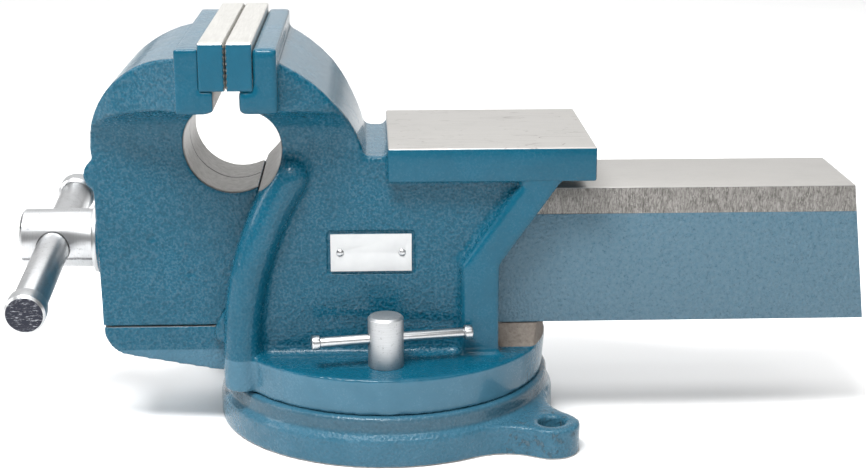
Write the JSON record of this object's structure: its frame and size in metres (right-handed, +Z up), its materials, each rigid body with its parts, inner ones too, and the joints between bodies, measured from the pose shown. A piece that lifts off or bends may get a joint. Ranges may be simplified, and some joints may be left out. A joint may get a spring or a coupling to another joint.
{
  "type": "bench vise",
  "caption": "Engineer's bench vise on a lockable swivel base, with a sliding front jaw, rear anvil, pipe opening and cross-bar handle.",
  "frame": {"origin": "on the swivel axis, at the underside of the base, where it stands on the bench", "axes": "+Z up along the swivel axis, +X along the slide to the rear end, Y across the jaws"},
  "size_m": [0.4557, 0.1908, 0.2175],
  "materials": {
    "painted_casting": "gloss enamel over a rough casting",
    "ground_steel": "ground",
    "bare_iron": "machined grey iron",
    "zinc_plate": "bright zinc plate",
    "dark_steel": "blackened",
    "label_white": "white enamelled plate"
  },
  "bodies": {
    "base": {"swivel_base": "painted_casting", "pivot_bolt": "dark_steel", "pivot_washer": "dark_steel", "pivot_nut": "dark_steel"},
    "body": {"vise_body": "painted_casting", "fixed_jaw_plate": "ground_steel", "fixed_plate_screws": "dark_steel", "spindle_nut": "bare_iron", "nut_screws": "dark_steel", "tee_nut_near": "dark_steel", "tee_nut_far": "dark_steel", "label_plate": "label_white", "label_rivets": "zinc_plate"},
    "front_jaw": {"moving_jaw": "painted_casting", "moving_jaw_plate": "ground_steel", "moving_plate_screws": "dark_steel"},
    "screw": {"spindle": "zinc_plate", "thrust_washer": "zinc_plate", "spindle_collar": "dark_steel", "collar_pin": "dark_steel"},
    "handle": {"handle_bar": "zinc_plate", "handle_cap_near": "zinc_plate", "handle_cap_far": "zinc_plate"},
    "lock_near": {"lock_bolt_near": "zinc_plate"},
    "lock_far": {"lock_bolt_far": "zinc_plate"},
    "cross_bar_near": {"lock_bar_near": "zinc_plate", "lock_bar_caps_near": "zinc_plate"},
    "cross_bar_far": {"lock_bar_far": "zinc_plate", "lock_bar_caps_far": "zinc_plate"}
  },
  "joints": [
    {"name": "swivel", "type": "hinge", "parent": "base", "child": "body", "pos_m": [0, 0, 0.0266], "axis": [0, 0, 1], "continuous": true},
    {"name": "jaw_slide", "type": "slide", "parent": "body", "child": "front_jaw", "axis": [-1, 0, 0], "range_m": [0, 0.15]},
    {"name": "spindle_spin", "type": "hinge", "parent": "front_jaw", "child": "screw", "pos_m": [-0.17, 0, 0.0995], "axis": [-1, 0, 0], "range_deg": [0, 10800]},
    {"name": "handle_slide", "type": "slide", "parent": "screw", "child": "handle", "axis": [0, 0.9914, 0.1305], "range_m": [-0.0455, 0.0705]},
    {"name": "lock_near_turn", "type": "hinge", "parent": "body", "child": "lock_near", "pos_m": [-0.001, -0.0645, 0.0615], "axis": [0, 0, 1], "range_deg": [-25, 0]},
    {"name": "cross_bar_near_slide", "type": "slide", "parent": "lock_near", "child": "cross_bar_near", "axis": [0.9848, 0.1736, 0], "range_m": [-0.019, 0.002]},
    {"name": "lock_far_turn", "type": "hinge", "parent": "body", "child": "lock_far", "pos_m": [-0.001, 0.0645, 0.0615], "axis": [0, 0, 1], "range_deg": [0, 25]},
    {"name": "cross_bar_far_slide", "type": "slide", "parent": "lock_far", "child": "cross_bar_far", "axis": [0.9848, -0.1736, 0], "range_m": [-0.019, 0.002]}
  ],
  "couplings": [
    {"joint": "spindle_spin", "follows": "jaw_slide", "rad_per_m": 1256.6}
  ]
}
